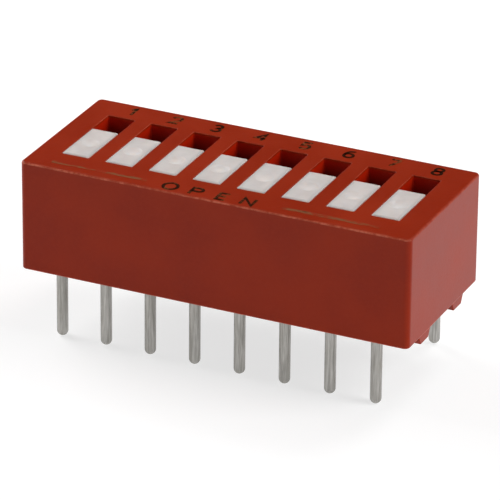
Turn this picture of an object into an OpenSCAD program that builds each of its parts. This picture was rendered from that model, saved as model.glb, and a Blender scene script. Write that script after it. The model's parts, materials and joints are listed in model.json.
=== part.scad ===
// Eight-position DIP switch with flush slide actuators.
// X runs along the row of positions, position 1 at -X.
// -Y is the front, the OPEN side. +Z is up.
// The origin is the centre of the pin grid on the seating plane, under the feet.

/* [Case] */
// Length of the cover along the row of positions
body_len = 21.8; // [21.3:0.01:24]
// Depth of the cover from front to back
body_w = 9.14; // [9.1:0.01:11]
// Height of the cover above its own lower edge
body_h = 6.07; // [5.8:0.01:7]
// Radius of the cover's four upright edges
body_corner = 0.3; // [0.1:0.05:0.5]
// Thickness of the cover's top, seen as the depth of the slot walls
roof_t = 1.2; // [1:0.05:1.4]
// Thickness of the cover's two end walls
end_wall_t = 0.75; // [0.5:0.05:0.9]
// Thickness of the cover's long walls beside the base
side_wall_t = 0.32; // [0.25:0.01:0.34]

/* [Feet] */
// Height of the feet, which is the gap left under the cover's lower edge
foot_h = 0.55; // [0.3:0.05:1]
// Width of a foot at its underside
foot_w = 0.97; // [0.6:0.01:1.4]
// How much wider a foot is at its root, on each side
foot_flare = 0.3; // [0:0.05:0.4]
// Size of a foot along the case
foot_t = 0.5; // [0.3:0.05:0.6]
// Step from the end face to the face of a foot
foot_inset = 0.1; // [0.02:0.01:0.15]
// Distance of the feet from the centre line of the case
foot_y = 2.16; // [1.6:0.01:3]

/* [Slots and slides] */
// Distance between neighbouring slots, a little less than between pins
slot_pitch = 2.48; // [2.46:0.01:2.54]
// Width of a slot
slot_w = 1.56; // [1.4:0.01:1.6]
// Length of a slot
slot_len = 5.43; // [5.1:0.01:5.6]
// How far the slots sit behind the centre line of the case
slot_shift = 0.05; // [-0.1:0.01:0.1]
// Travel of a slide from OPEN to closed
travel = 1.92; // [1.6:0.01:2]
// Gap between a slide and each wall of its slot
slide_gap = 0.025; // [0.02:0.005:0.06]
// Height of a slide's top above the cover
slide_proud = 0.02; // [0:0.01:0.1]
// Diameter of the stylus dimple in a slide's top
dimple_d = 1; // [0.6:0.05:1.1]
// Depth of the stylus dimple
dimple_depth = 0.16; // [0.08:0.01:0.2]

/* [Terminals] */
// Distance between neighbouring pins of a row
pitch = 2.54; // [2.54]
// Distance between the two rows of pins
row_gap = 7.62; // [7.62]
// Diameter of a pin
pin_d = 0.6; // [0.5:0.01:0.62]
// Length of a pin below the seating plane, with its round tip
pin_len = 3.18; // [2.5:0.01:4.5]

/* [Contacts] */
// Diameter of a contact ball
ball_d = 1; // [0.8:0.05:1.05]
// Wire diameter of a contact spring
spring_wire = 0.12; // [0.08:0.01:0.14]
// Turns of a contact spring
spring_turns = 5; // [4:1:6]

/* [Hidden] */
positions = 8;

$fn = 48;
// Cuts run past the surface they open by this much
over = 0.5;
// Gap between parts that are assembled into each other
fit_gap = 0.02;
// Gap kept under a ball as it moves over the contact plates
ball_gap = 0.02;
// A pin has a square neck from just under the cover's lower edge up to its plate
neck_w = 0.7 * pin_d;
neck_z0 = foot_h - 0.2;

red = [0.56, 0.09, 0.05];
white = [0.86, 0.85, 0.83];
tin = [0.62, 0.61, 0.58];
gold = [0.83, 0.66, 0.3];
resin = [0.2, 0.09, 0.06];

// Levels, from the bottom up
cover_z0 = foot_h;
cover_z1 = foot_h + body_h;
seal_z0 = cover_z0 + 0.2;
base_z0 = cover_z0 + 0.8;
base_z1 = cover_z0 + 2.05;
roof_z = cover_z1 - roof_t;
top_z = cover_z1 + slide_proud;

// Recess in the underside of the cover that takes the base and the seal
recess_len = body_len - 2 * end_wall_t;
recess_w = body_w - 2 * side_wall_t;

// Cells above the base, one per position, parted by ribs of the cover
rib_t = 0.34;
cell_w = slot_pitch - rib_t;
cell_len = slot_len + 1.1;

// A slide is a cap in the slot, a shoe under the roof and a boss round the spring
cap_w = slot_w - 2 * slide_gap;
cap_len = slot_len - travel - 2 * slide_gap;
cap_corner = 0.1;
shoe_gap = 0.05;
shoe_w = cell_w - 2 * shoe_gap;
shoe_len = cap_len + 0.3;
shoe_t = 0.9;
boss_w = 1.5;
boss_len = 1.8;
boss_lift = 0.3;
bore_d = ball_d + 0.06;
bore_z1 = roof_z + 0.03;

// Contact plates are inlaid in the top of the base and the ball rides on them
plate_t = 0.25;
plate_w = 1.2;
plate_gap = 0.4;
plate_end_y = row_gap / 2 + 0.25;
ball_z = base_z1 + ball_gap + ball_d / 2;

// The slides rest at the OPEN end
open_y = slot_shift - travel / 2;
closed_y = slot_shift + travel / 2;

// The spring stands on the ball and presses on the end of its bore
spring_r = 0.38;
spring_touch = 0.01;
spring_seat = ball_d / 2 + spring_wire / 2 + spring_touch;
spring_z0 = ball_z + sqrt(spring_seat * spring_seat - spring_r * spring_r);
spring_z1 = bore_z1 - spring_wire / 2 - spring_touch;
ring_steps = 12;
wire_sides = 6;

// Place of position i along X: of its pins, and of its slot with all that moves
function pin_x(i) = (i - (positions + 1) / 2) * pitch;
function slot_x(i) = (i - (positions + 1) / 2) * slot_pitch;

// A block centred on X and Y, from z0 up to z1
module block(size_x, size_y, z0, z1) {
    translate([-size_x / 2, -size_y / 2, z0]) cube([size_x, size_y, z1 - z0]);
}

// A square bar or hole from z0 up to z1
module square_bar(size, z0, z1) {
    block(size, size, z0, z1);
}

// A round bar or hole from z0 up to z1
module rod(d, z0, z1) {
    translate([0, 0, z0]) cylinder(d = d, h = z1 - z0);
}

// A rectangle with round corners
module round_rect(size_x, size_y, r) {
    square([size_x - 2 * r, size_y], center = true);
    square([size_x, size_y - 2 * r], center = true);
    for (sx = [-1, 1], sy = [-1, 1])
        translate([sx * (size_x / 2 - r), sy * (size_y / 2 - r)]) circle(r = r);
}

module at_each_slot() {
    for (i = [1:positions]) translate([slot_x(i), 0, 0]) children();
}

module at_each_pin() {
    for (i = [1:positions], side = [-1, 1])
        translate([pin_x(i), side * row_gap / 2, 0]) children();
}

// A foot under an end wall, flared towards its root
module foot() {
    rise = foot_h + over;
    flare = foot_flare * rise / foot_h;
    translate([-foot_t, 0, 0])
        rotate([90, 0, 90])
            linear_extrude(height = foot_t)
                polygon([
                    [-foot_w / 2, 0],
                    [foot_w / 2, 0],
                    [foot_w / 2 + flare, rise],
                    [-foot_w / 2 - flare, rise]
                ]);
}

module feet() {
    for (end = [0, 180], y = [-foot_y, foot_y])
        rotate([0, 0, end]) translate([body_len / 2 - foot_inset, y, 0]) foot();
}

module cover() {
    color(red)
        difference() {
            union() {
                translate([0, 0, cover_z0])
                    linear_extrude(height = body_h) round_rect(body_len, body_w, body_corner);
                feet();
            }
            block(recess_len, recess_w, cover_z0 - over, base_z1);
            at_each_slot() {
                translate([0, slot_shift, 0]) {
                    block(cell_w, cell_len, base_z1 - over, roof_z);
                    block(slot_w, slot_len, roof_z - over, cover_z1 + over);
                }
            }
        }
}

// Outline of a contact plate, seen from above. It reaches from behind its pin
// to the gap that the ball bridges when the slide is closed.
// side is -1 for the front row and 1 for the back row.
module plate(side, grow) {
    inner_y = closed_y + side * plate_gap / 2 - side * grow;
    outer_y = side * (plate_end_y + grow);
    translate([-plate_w / 2 - grow, min(inner_y, outer_y)])
        square([plate_w + 2 * grow, abs(outer_y - inner_y)]);
}

module base() {
    color(red)
        difference() {
            block(recess_len - 2 * fit_gap, recess_w - 2 * fit_gap, base_z0, base_z1);
            at_each_pin() square_bar(neck_w + 2 * fit_gap, base_z0 - over, base_z1 + over);
            at_each_slot()
                for (side = [-1, 1])
                    translate([0, 0, base_z1 - plate_t])
                        linear_extrude(height = plate_t + over) plate(side, fit_gap);
        }
}

module seal() {
    color(resin)
        difference() {
            block(recess_len - 2 * fit_gap, recess_w - 2 * fit_gap, seal_z0, base_z0);
            at_each_pin() square_bar(neck_w + 2 * fit_gap, seal_z0 - over, base_z0 + over);
        }
}

module slide(i) {
    dimple_r = (pow(dimple_d / 2, 2) + pow(dimple_depth, 2)) / (2 * dimple_depth);
    shoe_z1 = roof_z - shoe_gap;
    shoe_z0 = shoe_z1 - shoe_t;
    translate([slot_x(i), open_y, 0])
        color(white)
            difference() {
                union() {
                    translate([0, 0, shoe_z1 - 0.1])
                        linear_extrude(height = top_z - shoe_z1 + 0.1)
                            round_rect(cap_w, cap_len, cap_corner);
                    block(shoe_w, shoe_len, shoe_z0, shoe_z1);
                    block(boss_w, boss_len, base_z1 + boss_lift, shoe_z0 + 0.1);
                }
                rod(bore_d, base_z1, bore_z1);
                translate([0, 0, top_z + dimple_r - dimple_depth]) sphere(r = dimple_r);
            }
}

// One ring of points round the wire at step s of the coil
function coil_ring(s, steps) =
    let (
        turn = 360 * s / ring_steps,
        z = spring_z0 + (spring_z1 - spring_z0) * s / steps
    )
    [for (k = [0:wire_sides - 1])
        let (
            a = 360 * k / wire_sides,
            r = spring_r + spring_wire / 2 * cos(a)
        )
        [r * cos(turn), r * sin(turn), z + spring_wire / 2 * sin(a)]
    ];

module spring(i) {
    steps = spring_turns * ring_steps;
    points = [for (s = [0:steps]) each coil_ring(s, steps)];
    last = steps * wire_sides;
    start_cap = [[for (k = [0:wire_sides - 1]) k]];
    end_cap = [[for (k = [wire_sides - 1:-1:0]) last + k]];
    sides = [for (s = [0:steps - 1], k = [0:wire_sides - 1])
        let (
            here = s * wire_sides,
            next = here + wire_sides,
            k2 = (k + 1) % wire_sides
        )
        [here + k, next + k, next + k2, here + k2]
    ];
    translate([slot_x(i), open_y, 0])
        color(tin) polyhedron(points = points, faces = concat(start_cap, sides, end_cap));
}

module ball(i) {
    translate([slot_x(i), open_y, ball_z]) color(gold) sphere(d = ball_d);
}

// A round pin with a round tip and a square neck, headed into the contact plate
module terminal(i, side) {
    tip_r = pin_d / 2;
    color(tin) {
        translate([pin_x(i), side * row_gap / 2, 0]) {
            square_bar(neck_w, neck_z0, base_z1);
            rod(pin_d, tip_r - pin_len, neck_z0);
            translate([0, 0, tip_r - pin_len]) sphere(r = tip_r);
        }
        translate([slot_x(i), 0, base_z1 - plate_t])
            linear_extrude(height = plate_t) plate(side, 0);
    }
}

cover();
base();
seal();
for (i = [1:positions]) {
    slide(i);
    spring(i);
    ball(i);
    terminal(i, -1);
    terminal(i, 1);
}
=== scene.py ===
"""Looks for the eight-position DIP switch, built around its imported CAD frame.

Lengths in this file are millimetres unless a name says otherwise, and meshes are scaled to metres
when they become objects. X runs along the positions, -Y is the OPEN side, +Z is up.
"""

import json
import math

import bmesh
import bpy
from mathutils import Matrix, Quaternion, Vector
from mathutils.geometry import delaunay_2d_cdt


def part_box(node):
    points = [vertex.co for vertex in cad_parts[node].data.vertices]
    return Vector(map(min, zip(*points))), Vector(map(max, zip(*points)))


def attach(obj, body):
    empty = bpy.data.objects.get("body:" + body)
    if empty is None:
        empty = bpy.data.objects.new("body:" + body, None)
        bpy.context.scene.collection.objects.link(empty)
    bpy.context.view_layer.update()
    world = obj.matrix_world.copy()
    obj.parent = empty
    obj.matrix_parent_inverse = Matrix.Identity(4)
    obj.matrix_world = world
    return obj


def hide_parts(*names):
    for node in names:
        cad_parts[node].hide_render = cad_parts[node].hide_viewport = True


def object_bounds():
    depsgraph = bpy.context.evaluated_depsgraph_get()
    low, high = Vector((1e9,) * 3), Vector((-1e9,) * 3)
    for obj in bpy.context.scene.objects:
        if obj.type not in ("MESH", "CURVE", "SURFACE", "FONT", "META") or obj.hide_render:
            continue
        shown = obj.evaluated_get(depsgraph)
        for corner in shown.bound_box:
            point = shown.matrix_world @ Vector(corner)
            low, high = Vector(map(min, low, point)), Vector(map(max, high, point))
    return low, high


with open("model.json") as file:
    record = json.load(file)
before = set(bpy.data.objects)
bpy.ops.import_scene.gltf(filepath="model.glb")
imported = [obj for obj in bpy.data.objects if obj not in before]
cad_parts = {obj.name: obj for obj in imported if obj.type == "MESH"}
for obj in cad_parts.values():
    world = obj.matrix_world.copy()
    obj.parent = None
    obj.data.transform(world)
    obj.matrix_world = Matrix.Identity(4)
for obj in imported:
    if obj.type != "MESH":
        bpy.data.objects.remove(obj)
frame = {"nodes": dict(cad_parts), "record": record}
CAD_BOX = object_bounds()
MM = 0.001


def node_box(node):
    """Lowest and highest corner of a CAD node, in millimetres."""
    low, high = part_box(node)
    return low / MM, high / MM


# ---------------------------------------------------------------- sizes

COVER_LOW, COVER_HIGH = node_box("cover")
BASE_HIGH = node_box("base")[1]
SEAL_LOW, SEAL_HIGH = node_box("seal")
SLIDE_LOW, SLIDE_HIGH = node_box("slide_1")
BALL_LOW, BALL_HIGH = node_box("ball_1")
SPRING_LOW, SPRING_HIGH = node_box("spring_1")

POSITIONS = 8
PIN_GRID = next(m["dims"] for m in frame["record"]["mounts"] if m["name"] == "pins_1_8")
PIN_X = [(i / (POSITIONS - 1) - 0.5) * PIN_GRID["spacing_x_mm"] for i in range(POSITIONS)]
PIN_R = PIN_GRID["stud_r_mm"]
ROW_Y = PIN_GRID["spacing_y_mm"] / 2
TRAVEL = max(frame["record"]["behaviour"]["joints"][0]["range_m"]) / MM


def slot_x(number):
    """Middle of a position's slot and slide.

    The slots are a little closer together than the pins.
    """
    low, high = node_box(f"slide_{number}")
    return (low.x + high.x) / 2


SLOT_X = [slot_x(number) for number in range(1, POSITIONS + 1)]
SLOT_PITCH = SLOT_X[1] - SLOT_X[0]

# Cover. Its rim is its lower edge, and the base and the resin sit in a recess above it
RESIN_INSET = 0.2
ROOF_T = 1.2
TOP_Z = COVER_HIGH.z
RIM_Z = SEAL_LOW.z - RESIN_INSET
ROOF_Z = TOP_Z - ROOF_T
FIT_GAP = 0.02
RECESS = (BASE_HIGH.x * 2 + 2 * FIT_GAP, BASE_HIGH.y * 2 + 2 * FIT_GAP)
RECESS_CORNER = 0.05

# Slides. The cap fills the slot, the shoe runs under the roof, and the boss holds the spring
SLIDE_GAP = 0.025
SLIDE_Y = (SLIDE_LOW.y + SLIDE_HIGH.y) / 2
SHOE = (SLIDE_HIGH.x - SLIDE_LOW.x, SLIDE_HIGH.y - SLIDE_LOW.y)
SHOE_T = 0.9
SHOE_GAP = 0.05
SHOE_OVERHANG = 0.15
SHOE_Z = (ROOF_Z - SHOE_GAP - SHOE_T, ROOF_Z - SHOE_GAP)
CAP_W = 1.51
CAP = (CAP_W, SHOE[1] - 2 * SHOE_OVERHANG)
CAP_CORNER = 0.07
BOSS = (1.5, 1.8)
BORE_R = 0.53
BORE_INTO_CAP = 0.03
BORE_Z = ROOF_Z + BORE_INTO_CAP
DIMPLE_R = 0.50
DIMPLE_DEPTH = 0.11
# How fast the painted light in a dimple rises from its rim to its middle
DIMPLE_LIGHT_RISE = 1.4

# Slots, and the cells under them that are parted by ribs
SLOT = (CAP[0] + 2 * SLIDE_GAP, CAP[1] + TRAVEL + 2 * SLIDE_GAP)
SLOT_Y = SLIDE_Y + TRAVEL / 2
SLOT_CORNER = 0.08
RIB_T = 0.34
CELL_LONGER = 1.1
CELL = (SLOT_PITCH - RIB_T, SLOT[1] + CELL_LONGER)
CELL_CORNER = 0.1
# Depth at which a slot's wall has taken on the painted bounce light of the inner walls
PAINTED_BOUNCE_DEPTH = 0.16

FOOT = (0.5, 0.97)
FOOT_FLARE = 0.3
FOOT_INSET = 0.1
FOOT_X = COVER_HIGH.x - FOOT_INSET - FOOT[0] / 2
FOOT_Y = 2.16
FOOT_CORNER = 0.05

# Terminals. A pin turns into a square neck a little below the rim
NECK = 0.42
NECK_CORNER = 0.05
NECK_BELOW_RIM = 0.2
NECK_Z = RIM_Z - NECK_BELOW_RIM
NECK_CHAMFER = 0.015
PLATE_T = 0.25
PLATE_CORNER = 0.06
PLATE_LOWER_EDGE = 0.02

SPRING_WIRE_R = 0.06
SPRING_TURNS = 5.5
# How strongly the end turns of a spring are flattened
SPRING_END_EASE = 0.11

# Radii of corners and of broken edges
OUTER_CORNER = 0.30
OUTER_EDGE = 0.12
LOWER_EDGE = 0.08
SLOT_EDGE = 0.035
CAP_EDGE = 0.07
# Width of the strip along a slide's edges that takes painted shade
CAP_SHADE_STRIP = 0.23
SMALL_EDGE = 0.04
LEAST_CORNER = 0.01

# The painted highlight and wear of a rubbed edge is 1. It is less on the top's back and side edges,
# and round the slots
BACK_HIGHLIGHT_WEAR = 0.3
SLOT_HIGHLIGHT_WEAR = 0.45
# Width of the strip along the front that holds the front edge, whose painted highlight stays full
FRONT_STRIP = 0.2

CORNER_STEPS = 6
EDGE_STEPS = 5
ROUND_STEPS = 48
DIMPLE_BANDS = 12
BALL_BANDS = 20
TIP_STEPS = 10
COIL_STEPS = 24
WIRE_STEPS = 10
SHARP_ANGLE = math.radians(40)
# Width of the strip beside a rounded edge over which shading turns flat
HOLD = 0.015


# ---------------------------------------------------------------- mesh building


def ring_rect(size, corner, z, centre=(0.0, 0.0)):
    """Points of a rectangle with round corners, anticlockwise seen from above.

    Each arc has a point more on the straight side before and after it, which keeps the sides flat.
    """
    points = []
    half_x, half_y = (side / 2 - corner for side in size)
    for turn, (sx, sy) in enumerate(((1, 1), (-1, 1), (-1, -1), (1, -1))):
        middle = Vector((centre[0] + sx * half_x, centre[1] + sy * half_y))
        start = Vector((sx, 0)) if turn % 2 == 0 else Vector((0, sy))
        end = Vector((0, sy)) if turn % 2 == 0 else Vector((sx, 0))
        arc_points = []
        for step in range(CORNER_STEPS + 1):
            angle = math.pi / 2 * step / CORNER_STEPS
            arc_points.append(middle + corner * (start * math.cos(angle) + end * math.sin(angle)))
        outline = [arc_points[0] - end * HOLD, *arc_points, arc_points[-1] - start * HOLD]
        points += [(x, y, z) for x, y in outline]
    return points


def ring_round(radius, z, centre):
    """Points of a circle, anticlockwise seen from above."""
    angles = [2 * math.pi * step / ROUND_STEPS for step in range(ROUND_STEPS)]
    return [(centre[0] + radius * math.cos(a), centre[1] + radius * math.sin(a), z) for a in angles]


def edge_profile(radius):
    """Distances from the wall and from the flat along a rounded edge, from the flat to the wall.

    Its first and last points lie on the flat and on the wall, and keep them flat.
    """
    angles = [math.pi / 2 * step / EDGE_STEPS for step in range(EDGE_STEPS + 1)]
    curve = [(radius * (1 - math.sin(a)), radius * (1 - math.cos(a))) for a in angles]
    return [(radius + HOLD, 0.0), *curve, (0.0, radius + HOLD)]


class Shell:
    """A closed surface that is built ring by ring and becomes one piece."""

    def __init__(self):
        self.bm = bmesh.new()
        self.edge = self.bm.verts.layers.float.new("edge")
        self.painted_shading = self.bm.verts.layers.float.new("painted_shading")

    def ring(self, points, edge=0.0, painted_shading=0.0):
        """Vertices at some points.

        edge is 1 on a rubbed edge, where the case's material paints a highlight and wear, and along a
        slide's edges, where the slide's material paints shade. The other value is 1 on an inner wall,
        which gets painted bounce light, and 2 deep in the case, which gets painted shade; on a slide
        it is 1 in the middle of the dimple, which gets painted light.
        """
        verts = [self.bm.verts.new(p) for p in points]
        for v in verts:
            v[self.edge] = edge
            v[self.painted_shading] = painted_shading
        return verts

    def join(self, a, b):
        """Quads between two rings with the same number of points."""
        count = len(a)
        for k in range(count):
            self.bm.faces.new((a[k], a[(k + 1) % count], b[(k + 1) % count], b[k]))

    def loft(self, rings):
        """Joins rings of vertices one after another, and returns the last."""
        for a, b in zip(rings, rings[1:]):
            self.join(a, b)
        return rings[-1]

    def cap(self, ring):
        """Closes a ring with one face."""
        self.bm.faces.new(ring)

    def point_cap(self, ring, point, painted_shading=0.0):
        """Closes a ring on one point with a fan."""
        tip = self.ring([point], painted_shading=painted_shading)[0]
        for k, v in enumerate(ring):
            self.bm.faces.new((v, ring[(k + 1) % len(ring)], tip))

    def fill(self, outer, holes):
        """A flat face between an outer ring and the rings of its holes, which are all convex."""
        verts = []
        owner = []
        edges = []
        for number, ring in enumerate([outer, *holes]):
            first = len(verts)
            verts += ring
            owner += [number] * len(ring)
            edges += [(first + k, first + (k + 1) % len(ring)) for k in range(len(ring))]
        points = [v.co.xy for v in verts]
        inside_only = 1
        nearest = 1e-7
        _, _, triangles, sources, _, _ = delaunay_2d_cdt(points, edges, [], inside_only, nearest)
        for triangle in triangles:
            corners = [sources[k][0] for k in triangle]
            owners = {owner[k] for k in corners}
            # A triangle with all its corners on one hole would cover that hole
            if owners == {0} or len(owners) > 1:
                self.bm.faces.new([verts[k] for k in corners])

    def rect_edge(self, size, corner, z, up, radius, centre=(0.0, 0.0), hole=False):
        """Rings of a rounded edge of a box or of a hole, from its flat at z to its wall.

        up is 1 where the flat is the top of the wall and -1 where it is the bottom.
        """
        side = -1 if hole else 1
        highlight_wear = SLOT_HIGHLIGHT_WEAR if hole else 1.0
        rings = []
        for inset, drop in edge_profile(radius):
            grown = [s - 2 * side * inset for s in size]
            round_r = max(corner - side * inset, LEAST_CORNER)
            # Edge value, highest midway round the edge: the case paints its highlight and wear with
            # it, a slide its shade
            worn = math.sin(math.pi * min(drop / radius, 1)) * highlight_wear
            rings.append(self.ring(ring_rect(grown, round_r, z - up * drop, centre), worn))
        return rings

    def piece(self, name, body, material, slot=None, stands_for=()):
        """Turns the shell into an object that rides on a body."""
        bmesh.ops.recalc_face_normals(self.bm, faces=self.bm.faces)
        for e in self.bm.edges:
            e.smooth = len(e.link_faces) != 2 or e.calc_face_angle() < SHARP_ANGLE
        for f in self.bm.faces:
            f.smooth = True
        self.bm.transform(Matrix.Scale(MM, 4))
        mesh = bpy.data.meshes.new(name)
        self.bm.to_mesh(mesh)
        self.bm.free()
        mesh.materials.append(material)
        obj = bpy.data.objects.new(name, mesh)
        bpy.context.scene.collection.objects.link(obj)
        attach(obj, body)
        if stands_for:
            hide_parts(*stands_for)
        return obj


# ---------------------------------------------------------------- material building


class Nodes:
    """A material's node tree around one Principled shader."""

    def __init__(self, name):
        self.material = bpy.data.materials.new(name)
        self.material.use_nodes = True
        self.tree = self.material.node_tree
        self.tree.nodes.clear()
        self.output = self.add("OutputMaterial")
        self.shader = self.add("BsdfPrincipled")
        self.link(self.shader.outputs[0], self.output.inputs["Surface"])
        self.place = self.add("TexCoord").outputs["Object"]

    def add(self, kind, **settings):
        node = self.tree.nodes.new("ShaderNode" + kind)
        for key, value in settings.items():
            setattr(node, key, value)
        return node

    def link(self, source, target):
        self.tree.links.new(source, target)

    def feed(self, target, value):
        """Links a socket, or sets a plain number or colour."""
        if isinstance(value, bpy.types.NodeSocket):
            self.link(value, target)
        elif isinstance(value, (tuple, list)) and len(value) == 3 and target.type == "RGBA":
            target.default_value = (*value, 1.0)
        else:
            target.default_value = value

    def stretched(self, factors):
        """Object coordinates stretched by a factor along each axis."""
        mapping = self.add("Mapping")
        mapping.inputs["Scale"].default_value = factors
        self.link(self.place, mapping.inputs["Vector"])
        return mapping.outputs["Vector"]

    def noise(self, grain_mm, detail=3.0, rough=0.5, place=None, distort=0.0):
        """Noise from 0 to 1 whose lumps are about grain_mm across."""
        node = self.add("TexNoise")
        self.link(place or self.place, node.inputs["Vector"])
        node.inputs["Scale"].default_value = 1 / (grain_mm * MM)
        node.inputs["Detail"].default_value = detail
        node.inputs["Roughness"].default_value = rough
        node.inputs["Distortion"].default_value = distort
        return node.outputs["Fac"]

    def level(self, value, low, high, out_low=0.0, out_high=1.0):
        """Maps low..high smoothly to out_low..out_high."""
        node = self.add("MapRange", interpolation_type="SMOOTHSTEP")
        self.link(value, node.inputs["Value"])
        for socket, number in zip(node.inputs[1:5], (low, high, out_low, out_high)):
            socket.default_value = number
        return node.outputs["Result"]

    def math(self, operation, a, b):
        """Result of an operation on two sockets or numbers."""
        node = self.add("Math", operation=operation)
        self.feed(node.inputs[0], a)
        self.feed(node.inputs[1], b)
        return node.outputs[0]

    def mix(self, share, a, b):
        """Colour a where share is 0 and colour b where it is 1."""
        node = self.add("Mix", data_type="RGBA")
        self.feed(node.inputs["Factor"], share)
        self.feed(node.inputs[6], a)
        self.feed(node.inputs[7], b)
        return node.outputs[2]

    def attribute(self, name):
        """A number that the mesh holds at each vertex."""
        node = self.add("Attribute", attribute_name=name, attribute_type="GEOMETRY")
        return node.outputs["Fac"]

    def bump(self, height, depth_mm, below=None):
        """Relief of the given depth, on top of another bump's normal."""
        node = self.add("Bump")
        node.inputs["Distance"].default_value = depth_mm * MM
        self.link(height, node.inputs["Height"])
        if below:
            self.link(below, node.inputs["Normal"])
        return node.outputs["Normal"]

    def set(self, **values):
        """Sets or links the shader's inputs, named with _ for a space."""
        for key, value in values.items():
            self.feed(self.shader.inputs[key.replace("_", " ")], value)


# ---------------------------------------------------------------- materials

RED = (0.334, 0.0220, 0.0015)
RED_DARK = (0.284, 0.0165, 0.0010)
RED_LIGHT = (0.358, 0.0280, 0.0042)
# Painted highlight, with some wear, for the rubbed edges
RED_WORN_HIGHLIGHT = (0.72, 0.19, 0.115)
# Painted bounce light for the slots' inner walls, and painted shade deep in the case
RED_PAINTED_BOUNCE = (0.55, 0.0180, 0.0022)
RED_PAINTED_SHADE = (0.17, 0.0030, 0.0006)
RED_GLOSS = 0.165

WHITE_DARK = (0.66, 0.605, 0.585)
WHITE_LIGHT = (0.73, 0.675, 0.652)
# Painted light in the middle of a dimple
WHITE_PAINTED_DIMPLE_LIGHT = (0.84, 0.785, 0.755)
# Painted shade along a slide's edges
WHITE_PAINTED_EDGE_SHADE = (0.50, 0.44, 0.42)
WHITE_SPECK = (0.45, 0.37, 0.33)

TIN_DARK = (0.295, 0.286, 0.267)
TIN_LIGHT = (0.50, 0.487, 0.463)
TIN_DULL = (0.36, 0.345, 0.310)
STEEL_DARK = (0.42, 0.41, 0.39)
STEEL_LIGHT = (0.60, 0.59, 0.57)
GOLD_DARK = (0.62, 0.38, 0.12)
GOLD_LIGHT = (0.76, 0.52, 0.20)

RESIN_DARK = (0.028, 0.010, 0.007)
RESIN_LIGHT = (0.052, 0.020, 0.013)
RESIN_DUST = (0.14, 0.10, 0.08)

# Ink where it is thin, where it is thick, and where it has been rubbed into the plastic
INK_THIN = (0.205, 0.062, 0.021)
INK_THICK = (0.020, 0.0048, 0.0006)
INK_RUBBED = (0.24, 0.084, 0.032)


def red_plastic(nodes):
    """Colour of the moulded red plastic, with its grain and its large clouds."""
    clouds = nodes.noise(4.0, detail=2.0)
    grain = nodes.noise(0.16, detail=4.0, rough=0.6)
    colour = nodes.mix(nodes.level(clouds, 0.3, 0.7), RED_DARK, RED)
    colour = nodes.mix(nodes.level(grain, 0.35, 0.75, 0.0, 0.35), colour, RED_LIGHT)
    return colour, grain, clouds


def case_material():
    """Red plastic, with a painted highlight and wear on its rubbed edges, painted bounce light on the
    inner walls and painted shade deep in the case.
    """
    nodes = Nodes("moulded red plastic")
    colour, grain, clouds = red_plastic(nodes)
    # Painted bounce light on the inner walls, turning to painted shade deep in the case
    painted_shading = nodes.attribute("painted_shading")
    colour = nodes.mix(painted_shading, colour, RED_PAINTED_BOUNCE)
    colour = nodes.mix(nodes.level(painted_shading, 1.0, 2.0), colour, RED_PAINTED_SHADE)
    # Painted highlight and wear along the rubbed edges, broken up by noise
    rubbed = nodes.level(nodes.noise(0.40, detail=5.0, rough=0.7), 0.38, 0.62, 0.28, 1.0)
    share = nodes.math("MULTIPLY", nodes.math("MULTIPLY", nodes.attribute("edge"), rubbed), 0.9)
    colour = nodes.mix(share, colour, RED_WORN_HIGHLIGHT)
    fine = nodes.bump(grain, 0.004)
    waves = nodes.bump(nodes.noise(1.6, detail=2.0), 0.010, below=fine)
    rough = nodes.level(nodes.math("ADD", grain, clouds), 0.6, 1.4, 0.28, 0.38)
    nodes.set(
        Base_Color=colour,
        Roughness=rough,
        Normal=waves,
        Specular_IOR_Level=RED_GLOSS,
    )
    return nodes.material


def slide_material():
    """Off-white plastic, with painted shade along its edges and painted light in the dimple."""
    nodes = Nodes("off-white moulded slide")
    clouds = nodes.noise(1.1, detail=3.0)
    grain = nodes.noise(0.12, detail=4.0, rough=0.6)
    colour = nodes.mix(nodes.level(clouds, 0.3, 0.7), WHITE_DARK, WHITE_LIGHT)
    # Painted light towards the middle of the dimple
    colour = nodes.mix(nodes.attribute("painted_shading"), colour, WHITE_PAINTED_DIMPLE_LIGHT)
    # Painted shade along the slide's edges
    colour = nodes.mix(nodes.math("MULTIPLY", nodes.attribute("edge"), 0.5), colour, WHITE_PAINTED_EDGE_SHADE)
    specks = nodes.level(nodes.noise(0.09, detail=2.0, rough=0.8), 0.70, 0.76, 0.0, 0.35)
    colour = nodes.mix(specks, colour, WHITE_SPECK)
    fine = nodes.bump(grain, 0.004)
    waves = nodes.bump(clouds, 0.008, below=fine)
    nodes.set(
        Base_Color=colour,
        Roughness=nodes.level(grain, 0.3, 0.7, 0.28, 0.38),
        Normal=waves,
        Specular_IOR_Level=0.35,
        Subsurface_Weight=0.9,
        Subsurface_Radius=(1.0, 0.85, 0.75),
        Subsurface_Scale=0.45 * MM,
    )
    return nodes.material


def pin_material():
    """Tinned wire, with fine drawing lines along it and dull blotches."""
    nodes = Nodes("drawn tinned pin")
    drawn = nodes.noise(0.07, detail=4.0, rough=0.6, place=nodes.stretched((1.0, 1.0, 0.05)))
    blotch = nodes.noise(0.6, detail=3.0, place=nodes.stretched((1.0, 1.0, 0.4)))
    colour = nodes.mix(nodes.level(drawn, 0.32, 0.68), TIN_DARK, TIN_LIGHT)
    colour = nodes.mix(nodes.level(blotch, 0.35, 0.7, 0.0, 0.4), colour, TIN_DULL)
    nodes.set(
        Base_Color=colour,
        Metallic=1.0,
        Roughness=nodes.level(blotch, 0.3, 0.7, 0.34, 0.50),
        Normal=nodes.bump(drawn, 0.006),
    )
    return nodes.material


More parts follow.
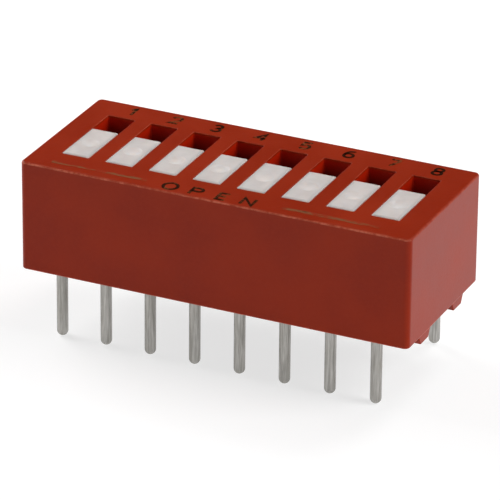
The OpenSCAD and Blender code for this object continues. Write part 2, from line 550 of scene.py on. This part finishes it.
def resin_material():
    """Dark glossy resin with swirls and a little dust."""
    nodes = Nodes("poured sealing resin")
    swirl = nodes.noise(1.8, detail=4.0, distort=1.2)
    dust = nodes.noise(0.1, detail=3.0, rough=0.7)
    colour = nodes.mix(nodes.level(swirl, 0.3, 0.7), RESIN_DARK, RESIN_LIGHT)
    colour = nodes.mix(nodes.level(dust, 0.62, 0.75, 0.0, 0.3), colour, RESIN_DUST)
    nodes.set(
        Base_Color=colour,
        Roughness=nodes.level(dust, 0.3, 0.7, 0.16, 0.34),
        Normal=nodes.bump(swirl, 0.03),
    )
    return nodes.material


def metal_material(name, dark, light, rough, grain_mm):
    """Fine-grained metal for the parts within the case."""
    nodes = Nodes(name)
    grain = nodes.noise(grain_mm, detail=4.0, rough=0.6)
    nodes.set(
        Base_Color=nodes.mix(nodes.level(grain, 0.3, 0.7), dark, light),
        Metallic=1.0,
        Roughness=nodes.level(grain, 0.3, 0.7, rough, rough + 0.12),
        Normal=nodes.bump(grain, 0.002),
    )
    return nodes.material


def ink_material(name, thin, patchiness, run, gloss):
    """Ink worn through to the plastic. The attribute "ink" says how much of it is left.

    run is how many times longer its worn patches are along X than across.
    """
    nodes = Nodes(name)
    plastic, grain, _ = red_plastic(nodes)
    patches = nodes.noise(0.28, detail=4.0, rough=0.7, place=nodes.stretched((1 / run, 1.0, 1.0)))
    patchy = nodes.level(patches, 0.30, 0.70, 0.5 - patchiness, 0.5 + patchiness)
    amount = nodes.math("ADD", patchy, nodes.attribute("ink"))
    left = nodes.level(amount, 0.68, 0.92)
    brown = nodes.mix(nodes.level(amount, 0.88, 1.16), thin, INK_THICK)
    nodes.set(
        Base_Color=nodes.mix(left, plastic, brown),
        Roughness=0.36,
        Normal=nodes.bump(grain, 0.004),
        Specular_IOR_Level=gloss,
    )
    return nodes.material


# ---------------------------------------------------------------- case


def build_cover(material):
    """The moulded cover with its slots, cells, recess and feet."""
    shell = Shell()
    size = (COVER_HIGH.x - COVER_LOW.x, COVER_HIGH.y - COVER_LOW.y)
    upper = shell.rect_edge(size, OUTER_CORNER, TOP_Z, 1, OUTER_EDGE)
    lower = shell.rect_edge(size, OUTER_CORNER, RIM_Z, -1, LOWER_EDGE)
    # The painted highlight and wear are fainter on the top's back and side edges
    for ring in upper:
        for v in ring:
            if v.co.y > COVER_LOW.y + FRONT_STRIP:
                v[shell.edge] *= BACK_HIGHLIGHT_WEAR
    shell.loft(upper + lower[::-1])

    slot_rims = []
    cell_mouths = []
    for x in SLOT_X:
        centre = (x, SLOT_Y)
        mouth = shell.rect_edge(SLOT, SLOT_CORNER, TOP_Z, 1, SLOT_EDGE, centre, hole=True)
        slot_rims.append(mouth[0])
        # Painted bounce light on a slot's walls from the lip down, turning to painted shade deep in
        # the slot and cell
        lip = shell.ring(ring_rect(SLOT, SLOT_CORNER, TOP_Z - PAINTED_BOUNCE_DEPTH, centre), painted_shading=1.0)
        throat = shell.ring(ring_rect(SLOT, SLOT_CORNER, ROOF_Z, centre), painted_shading=2.0)
        ceiling = shell.ring(ring_rect(CELL, CELL_CORNER, ROOF_Z, centre), painted_shading=2.0)
        cell = shell.ring(ring_rect(CELL, CELL_CORNER, BASE_HIGH.z, centre), painted_shading=2.0)
        shell.loft([*mouth, lip, throat, ceiling, cell])
        cell_mouths.append(cell)
    shell.fill(upper[0], slot_rims)

    recess_top = shell.ring(ring_rect(RECESS, RECESS_CORNER, BASE_HIGH.z))
    recess_rim = shell.ring(ring_rect(RECESS, RECESS_CORNER, RIM_Z))
    shell.fill(recess_top, cell_mouths)
    shell.join(recess_top, recess_rim)

    roots = [build_foot(shell, sx * FOOT_X, sy * FOOT_Y) for sx in (-1, 1) for sy in (-1, 1)]
    shell.fill(lower[0], [recess_rim, *roots])
    return shell.piece("case_cover", "root", material, "case", ["cover"])


def build_foot(shell, x, y):
    """A foot that narrows downwards. Returns the ring of its root."""
    spread = 2 * FOOT_FLARE
    root = shell.ring(ring_rect((FOOT[0], FOOT[1] + spread), FOOT_CORNER, RIM_Z, (x, y)))
    sole = shell.rect_edge(FOOT, FOOT_CORNER, COVER_LOW.z, -1, SMALL_EDGE, (x, y))
    for ring in sole:
        for v in ring:
            height = (v.co.z - COVER_LOW.z) / (RIM_Z - COVER_LOW.z)
            v.co.y += math.copysign(FOOT_FLARE, v.co.y - y) * height
    shell.loft([root, *sole[::-1]])
    shell.cap(sole[0])
    return root


# Outline of the resin where it creeps: distance from the wall, and how far it hangs below its surface
RESIN_CREEP = ((0.0, 0.075), (0.012, 0.048), (0.03, 0.024), (0.055, 0.008), (0.085, 0.0))


def build_resin(material):
    """The poured resin round the pins, which creeps down the walls and the pins."""
    shell = Shell()
    size = (SEAL_HIGH.x - SEAL_LOW.x, SEAL_HIGH.y - SEAL_LOW.y)
    corner = 0.03
    top = shell.ring(ring_rect(size, corner, SEAL_HIGH.z))
    wall = []
    for out, drop in RESIN_CREEP:
        inner = [s - 2 * out for s in size]
        wall.append(shell.ring(ring_rect(inner, corner + out, SEAL_LOW.z - drop)))
    flat = shell.loft([top, *wall])
    holes_low = []
    holes_high = []
    hole = NECK + 2 * FIT_GAP
    for x in PIN_X:
        for y in (-ROW_Y, ROW_Y):
            high = shell.ring(ring_rect((hole, hole), NECK_CORNER, SEAL_HIGH.z, (x, y)))
            collar = []
            for out, drop in RESIN_CREEP:
                wide = hole + 2 * out
                ring = ring_rect((wide, wide), NECK_CORNER + out, SEAL_LOW.z - drop, (x, y))
                collar.append(shell.ring(ring))
            holes_low.append(shell.loft([high, *collar]))
            holes_high.append(high)
    shell.fill(flat, holes_low)
    shell.fill(top, holes_high)
    return shell.piece("sealing_resin", "root", material, "resin", ["seal"])


# ---------------------------------------------------------------- moving parts


def build_slide(number, material):
    """A slide: cap in the slot, shoe under the roof, and boss with the spring's bore."""
    shell = Shell()
    centre = (SLOT_X[number - 1], SLIDE_Y)
    boss_z = SLIDE_LOW.z

    bore = [
        shell.ring(ring_round(r, z, centre))
        for r, z in ((BORE_R, BORE_Z), (BORE_R, boss_z + SMALL_EDGE), (BORE_R + SMALL_EDGE, boss_z))
    ]
    shell.cap(bore[0])
    shell.loft(bore)
    boss = shell.rect_edge(BOSS, CAP_CORNER, boss_z, -1, SMALL_EDGE, centre)
    shell.fill(boss[0], [bore[-1]])
    boss_root = shell.ring(ring_rect(BOSS, CAP_CORNER, SHOE_Z[0], centre))
    shoe_low = shell.rect_edge(SHOE, CAP_CORNER, SHOE_Z[0], -1, SMALL_EDGE, centre)
    shoe_high = shell.rect_edge(SHOE, CAP_CORNER, SHOE_Z[1], 1, SMALL_EDGE, centre)
    cap_root = shell.ring(ring_rect(CAP, CAP_CORNER, SHOE_Z[1], centre))
    cap_top = shell.rect_edge(CAP, CAP_CORNER, SLIDE_HIGH.z, 1, CAP_EDGE, centre)
    shell.loft([*boss, boss_root, *shoe_low, *shoe_high[::-1], cap_root, *cap_top[::-1]])

    bowl_r = (DIMPLE_R**2 + DIMPLE_DEPTH**2) / (2 * DIMPLE_DEPTH)
    dimple = [shell.ring(ring_round(DIMPLE_R + HOLD, SLIDE_HIGH.z, centre))]
    for band in range(DIMPLE_BANDS):
        radius = DIMPLE_R * (1 - band / DIMPLE_BANDS)
        depth = DIMPLE_DEPTH - bowl_r + math.sqrt(bowl_r**2 - radius**2)
        # Painted light, stronger towards the dimple's middle
        pale = min(1.0, DIMPLE_LIGHT_RISE * band / DIMPLE_BANDS)
        dimple.append(shell.ring(ring_round(radius, SLIDE_HIGH.z - depth, centre), painted_shading=pale))
    shell.loft(dimple)
    face_corner = 0.02
    face_size = [s - 2 * CAP_SHADE_STRIP for s in CAP]
    face = shell.ring(ring_rect(face_size, face_corner, SLIDE_HIGH.z, centre))
    shell.join(face, cap_top[0])
    # The edge value carries painted shade along the slide's edges, fading to the face ring
    for ring in cap_top:
        for v in ring:
            v[shell.edge] = 1.0
    shell.fill(face, [dimple[0]])
    shell.point_cap(dimple[-1], (*centre, SLIDE_HIGH.z - DIMPLE_DEPTH), painted_shading=1.0)
    body = f"switch_{number}"
    return shell.piece(f"actuator_{number}", body, material, "actuator", [f"slide_{number}"])


def build_ball(number, material):
    """A contact ball, turned from its half outline."""
    shell = Shell()
    radius = (BALL_HIGH.z - BALL_LOW.z) / 2
    centre = (SLOT_X[number - 1], SLIDE_Y, (BALL_LOW.z + BALL_HIGH.z) / 2)
    rings = []
    for band in range(1, BALL_BANDS):
        angle = math.pi * band / BALL_BANDS
        z = centre[2] - radius * math.cos(angle)
        rings.append(shell.ring(ring_round(radius * math.sin(angle), z, centre[:2])))
    shell.loft(rings)
    shell.point_cap(rings[0], (centre[0], centre[1], centre[2] - radius))
    shell.point_cap(rings[-1], (centre[0], centre[1], centre[2] + radius))
    name = f"contact_ball_{number}"
    return shell.piece(name, f"switch_{number}", material, "contact", [f"ball_{number}"])


def build_spring(number, material):
    """A coil of round wire whose end turns lie nearly flat."""
    shell = Shell()
    wire_r = SPRING_WIRE_R
    coil_r = (SPRING_HIGH.x - SPRING_LOW.x) / 2 - wire_r
    low, high = SPRING_LOW.z + wire_r, SPRING_HIGH.z - wire_r
    upward = Vector((0, 0, 1))
    around = [2 * math.pi * k / WIRE_STEPS for k in range(WIRE_STEPS)]
    steps = int(SPRING_TURNS * COIL_STEPS)
    rings = []
    for step in range(steps + 1):
        share = step / steps
        ease = share - SPRING_END_EASE * math.sin(2 * math.pi * share)
        turn = 2 * math.pi * SPRING_TURNS * share
        outward = Vector((math.cos(turn), math.sin(turn), 0))
        middle = Vector((SLOT_X[number - 1], SLIDE_Y, low + (high - low) * ease)) + outward * coil_r
        section = [middle + wire_r * (outward * math.cos(a) + upward * math.sin(a)) for a in around]
        rings.append(shell.ring(section))
    shell.loft(rings)
    shell.cap(rings[0])
    shell.cap(rings[-1])
    name = f"contact_spring_{number}"
    return shell.piece(name, f"switch_{number}", material, "spring_steel", [f"spring_{number}"])


# ---------------------------------------------------------------- terminals


def build_terminal(number, row, material):
    """A pin with a round tip, headed into a contact plate. row is front or back."""
    shell = Shell()
    node = f"terminal_{row}_{number}"
    low, high = node_box(node)
    side = -1 if row == "front" else 1
    pin_at = (PIN_X[number - 1], side * ROW_Y)
    profile = []
    for step in range(1, TIP_STEPS + 1):
        angle = math.pi / 2 * step / TIP_STEPS
        profile.append((PIN_R * math.sin(angle), low.z + PIN_R * (1 - math.cos(angle))))
    profile += [(PIN_R, NECK_Z - NECK_CHAMFER), (PIN_R - NECK_CHAMFER, NECK_Z)]
    rings = [shell.ring(ring_round(r, z, pin_at)) for r, z in profile]
    shell.loft(rings)
    shell.point_cap(rings[0], (*pin_at, low.z))
    neck_low = shell.ring(ring_rect((NECK, NECK), NECK_CORNER, NECK_Z, pin_at))
    neck_high = shell.ring(ring_rect((NECK, NECK), NECK_CORNER, high.z - PLATE_T, pin_at))
    shell.fill(rings[-1], [neck_low])
    shell.join(neck_low, neck_high)

    plate = (high.x - low.x, high.y - low.y)
    plate_at = ((low.x + high.x) / 2, (low.y + high.y) / 2)
    under_z = high.z - PLATE_T
    under = shell.rect_edge(plate, PLATE_CORNER, under_z, -1, PLATE_LOWER_EDGE, plate_at)
    over = shell.rect_edge(plate, PLATE_CORNER, high.z, 1, SMALL_EDGE, plate_at)
    shell.fill(under[0], [neck_high])
    shell.loft([*under, *over[::-1]])
    shell.cap(over[0])
    return shell.piece(f"pin_{row}_{number}", "root", material, "pin", [node])


# ---------------------------------------------------------------- legends

INK_PROUD = 0.006
INK_SUNK = 0.006
# How far the middle of each numeral lies to the right of its slot's middle
NUMERAL_X = (0.14, 0.24, 0.12, 0.20, 0.24, 0.24, 0.24, 0.22)
NUMERAL_Y = 3.68
NUMERAL_SIZE = 0.96
NUMERAL_STROKE = 0.16
OPEN_Y = -3.92
OPEN_SIZE = 0.93
OPEN_STROKE = 0.17
OPEN_X = (-2.61, -1.15, 0.31, 1.73)
LINE_Y = -3.83
LINE_STROKE = 0.26
LINE_ENDS = ((-9.4, -4.0), (3.6, 8.9))
LINE_STEPS = 12
# Angle between the points of a glyph's arcs, in degrees
ARC_STEP = 12
# Least cosine that a mitre is worked out with, which keeps sharp bends from growing spikes
MITRE_LIMIT = 0.45
# A line is a loop if its ends are closer than this share of its width
LOOP_GAP = 0.1


def arc(x, y, rx, ry, start, end):
    """Points along an elliptical arc, in degrees, in a glyph's own units."""
    steps = max(3, int(abs(end - start) / ARC_STEP))
    angles = [math.radians(start + (end - start) * k / steps) for k in range(steps + 1)]
    return [(x + rx * math.cos(a), y + ry * math.sin(a)) for a in angles]


# Strokes of each glyph, one unit high, with their width first
GLYPHS = {
    "O": (1.0, [arc(0.5, 0.5, 0.5, 0.5, 0, 360)]),
    "P": (0.74, [[(0, 0), (0, 1), *arc(0.46, 0.74, 0.28, 0.26, 90, -90), (0, 0.48)]]),
    "E": (0.64, [[(0.64, 1), (0, 1), (0, 0), (0.64, 0)], [(0, 0.52), (0.54, 0.52)]]),
    "N": (0.82, [[(0, 0), (0, 1), (0.82, 0), (0.82, 1)]]),
    "1": (0.30, [[(0, 0.74), (0.3, 1), (0.3, 0)]]),
    "2": (0.62, [[*arc(0.31, 0.7, 0.31, 0.3, 170, -40), (0, 0), (0.62, 0)]]),
    "3": (0.62, [[*arc(0.31, 0.75, 0.28, 0.25, 155, -80), *arc(0.31, 0.26, 0.31, 0.26, 80, -155)]]),
    "4": (0.66, [[(0.5, 0), (0.5, 1), (0, 0.32), (0.66, 0.32)]]),
    "5": (0.62, [[(0.58, 1), (0.08, 1), (0.04, 0.54), *arc(0.31, 0.32, 0.31, 0.32, 125, -150)]]),
    "6": (
        0.62,
        [[(0.52, 0.94), *arc(0.42, 0.42, 0.42, 0.55, 80, 180), *arc(0.31, 0.3, 0.31, 0.3, 180, 530)]],
    ),
    "7": (0.62, [[(0, 1), (0.62, 1), (0.2, 0)]]),
    "8": (0.62, [arc(0.31, 0.76, 0.27, 0.24, -90, 270), arc(0.31, 0.27, 0.31, 0.27, 90, 450)]),
}

# How much of each printed mark is left, from 0 to 1
NUMERAL_INK = (0.65, 0.53, 0.77, 0.59, 0.52, 0.84, 0.50, 0.86)
OPEN_INK = (0.70, 0.70, 0.56, 0.72)
LINE_INK = (0.26, 0.34)


class Print(Shell):
    """Thin strokes of ink on the cover's top."""

    def __init__(self):
        super().__init__()
        self.ink = self.bm.verts.layers.float.new("ink")

    def stroke(self, points, width, ink):
        """A thin ribbon along a line of points. A line that ends where it starts makes a loop."""
        closed = (Vector(points[0]) - Vector(points[-1])).length < width * LOOP_GAP
        line = [Vector(p) for p in (points[:-1] if closed else points)]
        count = len(line)
        sections = []
        for k, here in enumerate(line):
            before = line[k - 1] if closed or k else here
            after = line[(k + 1) % count] if closed or k < count - 1 else here
            into = (here - before).normalized() if here != before else (after - here).normalized()
            away = (after - here).normalized() if after != here else into
            across = Vector((-(into + away).y, (into + away).x)).normalized()
            reach = width / 2 / max(across.dot(Vector((-into.y, into.x))), MITRE_LIMIT)
            left, right = here + across * reach, here - across * reach
            corners = [(*left, TOP_Z - INK_SUNK), (*left, TOP_Z + INK_PROUD)]
            corners += [(*right, TOP_Z + INK_PROUD), (*right, TOP_Z - INK_SUNK)]
            section = self.ring(corners)
            for v in section:
                v[self.ink] = ink
            sections.append(section)
        self.loft(sections)
        if closed:
            self.join(sections[-1], sections[0])
        else:
            self.cap(sections[0])
            self.cap(sections[-1])

    def glyph(self, letter, centre_x, centre_y, height, width, ink):
        """One numeral or letter, of the given height over its ink."""
        glyph_w, strokes = GLYPHS[letter]
        scale = height - width
        for stroke in strokes:
            placed = []
            for x, y in stroke:
                placed.append((centre_x + (x - glyph_w / 2) * scale, centre_y + (y - 0.5) * scale))
            self.stroke(placed, width, ink)


def build_legends(letter_ink, line_ink):
    """The numerals behind the slots, and the word OPEN between its two lines in front of them."""
    numerals = Print()
    for index, (x, shift, ink) in enumerate(zip(SLOT_X, NUMERAL_X, NUMERAL_INK)):
        letter = str(index + 1)
        numerals.glyph(letter, x + shift, NUMERAL_Y, NUMERAL_SIZE, NUMERAL_STROKE, ink)
    numerals.piece("legend_numerals", "root", letter_ink)

    word = Print()
    for letter, x, ink in zip("OPEN", OPEN_X, OPEN_INK):
        word.glyph(letter, x, OPEN_Y, OPEN_SIZE, OPEN_STROKE, ink)
    word.piece("legend_open", "root", letter_ink)

    lines = Print()
    for (start, end), ink in zip(LINE_ENDS, LINE_INK):
        xs = [start + (end - start) * k / LINE_STEPS for k in range(LINE_STEPS + 1)]
        lines.stroke([(x, LINE_Y) for x in xs], LINE_STROKE, ink)
    lines.piece("legend_lines", "root", line_ink)


# ---------------------------------------------------------------- stage

LENS = 328.57
SENSOR = 36.0
CAMERA_DISTANCE = 235.61
CAMERA_AZIMUTH = math.radians(24.73)
CAMERA_ELEVATION = math.radians(25.27)
CAMERA_ROLL = math.radians(0.559)
CAMERA_CLIP_M = (0.01, 10.0)
# The point looked at, from the middle of the object
CAMERA_AIM = Vector((0.011, 0.085, 0.155))

# Strength of the surroundings at the horizon, as light on surfaces and in their reflections
HORIZON_LIGHT = 3.4
HORIZON_GLOSS = 1.0
# Share of that strength overhead, and the heights between which it falls to that share
CEILING_SHARE = 0.03
CEILING_FROM = 0.02
CEILING_TO = 0.22

FLOOR_HALF_M = 3.0
# Colour of the floor as it lights the object, and as it is seen, where a glow is added to it
FLOOR_LIGHT = (0.80, 0.80, 0.80, 1.0)
FLOOR_SEEN = (0.42, 0.42, 0.42, 1.0)
FLOOR_GLOW = 0.70

# Name, direction from the object's middle, distance and side length in metres, and power in watts
SOFT_BOXES = (
    ("soft box left", (-0.80, 0.20, 0.55), 0.15, 0.11, 0.155),
    ("soft box right", (0.76, 0.12, 0.64), 0.30, 0.14, 0.435),
    ("lamp behind", (0.22, 0.59, 0.78), 0.30, 0.10, 0.22),
)


def build_camera():
    """The photo's view, made with a long lens."""
    low, high = CAD_BOX
    aim = (low + high) / 2 + CAMERA_AIM * MM
    back = Vector((
        math.sin(CAMERA_AZIMUTH) * math.cos(CAMERA_ELEVATION),
        -math.cos(CAMERA_AZIMUTH) * math.cos(CAMERA_ELEVATION),
        math.sin(CAMERA_ELEVATION),
    ))
    camera = bpy.data.cameras.new("camera")
    camera.lens = LENS
    camera.sensor_width = SENSOR
    camera.clip_start, camera.clip_end = CAMERA_CLIP_M
    obj = bpy.data.objects.new("camera", camera)
    bpy.context.scene.collection.objects.link(obj)
    obj.location = aim + back * CAMERA_DISTANCE * MM
    obj.rotation_mode = "QUATERNION"
    obj.rotation_quaternion = (-back).to_track_quat("-Z", "Y") @ Quaternion((0, 0, 1), CAMERA_ROLL)
    bpy.context.scene.camera = obj


def build_light(name, direction, distance, side, power):
    """A square soft box that looks at the object's middle from a direction."""
    low, high = CAD_BOX
    centre = (low + high) / 2
    lamp = bpy.data.lights.new(name, "AREA")
    lamp.shape = "RECTANGLE"
    lamp.size = side
    lamp.size_y = side
    lamp.energy = power
    obj = bpy.data.objects.new(name, lamp)
    bpy.context.scene.collection.objects.link(obj)
    towards = Vector(direction).normalized()
    obj.location = centre + towards * distance
    obj.rotation_mode = "QUATERNION"
    obj.rotation_quaternion = (-towards).to_track_quat("-Z", "Y")


def combine(tree, operation, a, b):
    """Result of a maths operation on two sockets."""
    node = tree.nodes.new("ShaderNodeMath")
    node.operation = operation
    tree.links.new(a, node.inputs[0])
    tree.links.new(b, node.inputs[1])
    return node.outputs[0]


def seen_ray(tree):
    """Two sockets: 1 for rays that see a surface, straight or mirrored, and 1 for camera rays only."""
    path = tree.nodes.new("ShaderNodeLightPath")
    camera_ray = path.outputs["Is Camera Ray"]
    seen = combine(tree, "MAXIMUM", camera_ray, path.outputs["Is Glossy Ray"])
    seen = combine(tree, "MAXIMUM", seen, path.outputs["Is Transmission Ray"])
    return seen, camera_ray


def remap(tree, value, source, target, kind="LINEAR"):
    """Maps a socket from one span of numbers to another."""
    node = tree.nodes.new("ShaderNodeMapRange")
    node.interpolation_type = kind
    tree.links.new(value, node.inputs["Value"])
    for socket, number in zip(node.inputs[1:5], (*source, *target)):
        socket.default_value = number
    return node.outputs["Result"]


def build_world():
    """White to the camera all round. Surfaces get a bright horizon under a dim studio ceiling."""
    world = bpy.data.worlds.new("studio")
    bpy.context.scene.world = world
    world.use_nodes = True
    tree = world.node_tree
    tree.nodes.clear()
    output = tree.nodes.new("ShaderNodeOutputWorld")
    place = tree.nodes.new("ShaderNodeTexCoord")
    split = tree.nodes.new("ShaderNodeSeparateXYZ")
    tree.links.new(place.outputs["Generated"], split.inputs[0])
    height = split.outputs["Z"]
    fall = remap(tree, height, (CEILING_FROM, CEILING_TO), (1.0, CEILING_SHARE), "SMOOTHSTEP")
    seen, camera_ray = seen_ray(tree)
    horizon = remap(tree, seen, (0.0, 1.0), (HORIZON_LIGHT, HORIZON_GLOSS))
    surroundings = combine(tree, "MULTIPLY", horizon, fall)
    strength = combine(tree, "MAXIMUM", surroundings, camera_ray)
    background = tree.nodes.new("ShaderNodeBackground")
    tree.links.new(strength, background.inputs["Strength"])
    tree.links.new(background.outputs[0], output.inputs["Surface"])


def build_floor():
    """A pale floor under the pins, which keeps the object's soft shadow."""
    floor_z = CAD_BOX[0].z
    mesh = bpy.data.meshes.new("floor")
    signs = ((-1, -1), (1, -1), (1, 1), (-1, 1))
    corners = [(sx * FLOOR_HALF_M, sy * FLOOR_HALF_M, floor_z) for sx, sy in signs]
    mesh.from_pydata(corners, [], [(0, 1, 2, 3)])
    floor = bpy.data.objects.new("floor", mesh)
    bpy.context.scene.collection.objects.link(floor)

    material = bpy.data.materials.new("pale floor")
    material.use_nodes = True
    tree = material.node_tree
    tree.nodes.clear()
    output = tree.nodes.new("ShaderNodeOutputMaterial")
    lit = tree.nodes.new("ShaderNodeBsdfDiffuse")
    lit.inputs["Color"].default_value = FLOOR_LIGHT
    shown = tree.nodes.new("ShaderNodeBsdfDiffuse")
    shown.inputs["Color"].default_value = FLOOR_SEEN
    glow = tree.nodes.new("ShaderNodeEmission")
    glow.inputs["Strength"].default_value = FLOOR_GLOW
    both = tree.nodes.new("ShaderNodeAddShader")
    tree.links.new(shown.outputs[0], both.inputs[0])
    tree.links.new(glow.outputs[0], both.inputs[1])
    choose = tree.nodes.new("ShaderNodeMixShader")
    seen, _ = seen_ray(tree)
    tree.links.new(seen, choose.inputs[0])
    tree.links.new(lit.outputs[0], choose.inputs[1])
    tree.links.new(both.outputs[0], choose.inputs[2])
    tree.links.new(choose.outputs[0], output.inputs["Surface"])
    mesh.materials.append(material)


# ---------------------------------------------------------------- the scene

red = case_material()
white = slide_material()
tin = pin_material()
steel = metal_material("spring steel", STEEL_DARK, STEEL_LIGHT, rough=0.24, grain_mm=0.05)
gold = metal_material("gold plated contact", GOLD_DARK, GOLD_LIGHT, rough=0.18, grain_mm=0.08)

build_cover(red)
build_resin(resin_material())
stamped = ink_material("stamped ink", INK_THIN, patchiness=0.30, run=1.0, gloss=0.05)
rubbed = ink_material("rubbed ink", INK_RUBBED, patchiness=0.22, run=4.0, gloss=RED_GLOSS)
build_legends(stamped, rubbed)
for number in range(1, POSITIONS + 1):
    build_slide(number, white)
    build_ball(number, gold)
    build_spring(number, steel)
    build_terminal(number, "front", tin)
    build_terminal(number, "back", tin)

# The base shows its CAD shape, in the case's plastic
base = frame["nodes"]["base"]
base.data.materials.clear()
base.data.materials.append(red)

build_camera()
build_world()
build_floor()
for soft_box in SOFT_BOXES:
    build_light(*soft_box)
bpy.context.scene.view_settings.view_transform = "Standard"
